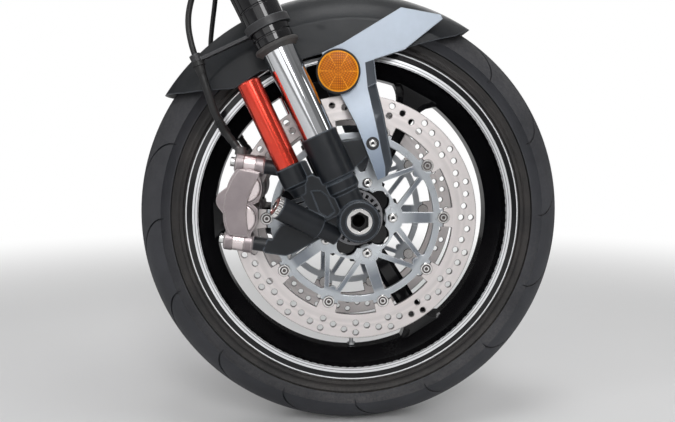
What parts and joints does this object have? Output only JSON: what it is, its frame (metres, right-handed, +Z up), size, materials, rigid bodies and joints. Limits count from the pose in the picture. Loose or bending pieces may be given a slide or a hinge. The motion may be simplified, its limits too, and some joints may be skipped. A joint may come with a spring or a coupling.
{
  "type": "motorcycle front end with wheel, fork and brakes",
  "caption": "Front end of a sport motorcycle: wheel with tyre and drilled discs on an upside-down fork with radial calipers, lower yoke, steering stem and mudguard.",
  "frame": {"origin": "lower bearing seat of the steering stem, on its axis", "axes": "+X forward, +Y to the rider's left, +Z up with the motorcycle standing; the stem leans back 25 degrees"},
  "size_m": [0.6411, 0.291, 0.9839],
  "materials": {
    "stem_steel": "machined steel",
    "yoke_black": "black anodised",
    "zinc_bolts": "bright zinc",
    "tube_black": "gloss black",
    "cap_anodised": "dark anodised",
    "chrome_tube": "hard chrome",
    "seal_rubber": "matt rubber",
    "foot_black": "satin black",
    "chamber_red": "red anodised",
    "adjuster_cap": "red-brown anodised",
    "caliper_titanium": "warm grey anodised",
    "pad_material": "backing plate and lining",
    "hose_rubber": "matt black sheath",
    "banjo_steel": "dark plated steel",
    "bracket_black": "satin black",
    "union_alloy": "black anodised",
    "axle_steel": "bright plated steel",
    "spacer_alloy": "turned",
    "guard_black": "satin black moulding",
    "arm_grey": "satin grey paint",
    "reflector_amber": "amber prism lens",
    "tyre_rubber": "dusty rubber",
    "rim_black": "gloss black",
    "valve_alloy": "turned",
    "bearing_steel": "ground steel",
    "disc_steel": "ground stainless steel",
    "carrier_alloy": "satin machined",
    "bobbin_alloy": "bright turned",
    "tone_steel": "stamped steel"
  },
  "bodies": {
    "fork": {"steering_stem": "stem_steel", "lower_yoke": "yoke_black", "yoke_bolts": "zinc_bolts", "outer_tube_right": "tube_black", "outer_tube_left": "tube_black", "fork_cap_right": "cap_anodised", "fork_cap_left": "cap_anodised", "stanchion_right": "chrome_tube", "stanchion_left": "chrome_tube", "fork_seals": "seal_rubber", "fork_foot_right": "foot_black", "fork_foot_left": "foot_black", "damper_chamber_right": "chamber_red", "damper_chamber_left": "chamber_red", "damping_adjusters": "adjuster_cap", "caliper_right": "caliper_titanium", "caliper_left": "caliper_titanium", "brake_pads": "pad_material", "caliper_bolts": "zinc_bolts", "brake_hose_right": "hose_rubber", "brake_hose_left": "hose_rubber", "hose_banjos": "banjo_steel", "hose_guides": "bracket_black", "hose_union": "union_alloy", "axle": "axle_steel", "axle_head": "axle_steel", "axle_nut": "axle_steel", "wheel_spacers": "spacer_alloy", "mudguard_shell": "guard_black", "mudguard_arm_right": "arm_grey", "mudguard_arm_left": "arm_grey", "reflectors": "reflector_amber", "mudguard_bolts": "zinc_bolts"},
    "wheel": {"tyre": "tyre_rubber", "wheel_rim": "rim_black", "tyre_valve": "valve_alloy", "wheel_bearings": "bearing_steel", "brake_disc_right": "disc_steel", "brake_disc_left": "disc_steel", "disc_carrier_right": "carrier_alloy", "disc_carrier_left": "carrier_alloy", "disc_bobbins": "bobbin_alloy", "carrier_bolts": "zinc_bolts", "tone_ring": "tone_steel"}
  },
  "joints": [
    {"name": "wheel_spin", "type": "hinge", "parent": "fork", "child": "wheel", "pos_m": [0.25118, 0, -0.46766], "axis": [0, 1, 0], "continuous": true}
  ]
}
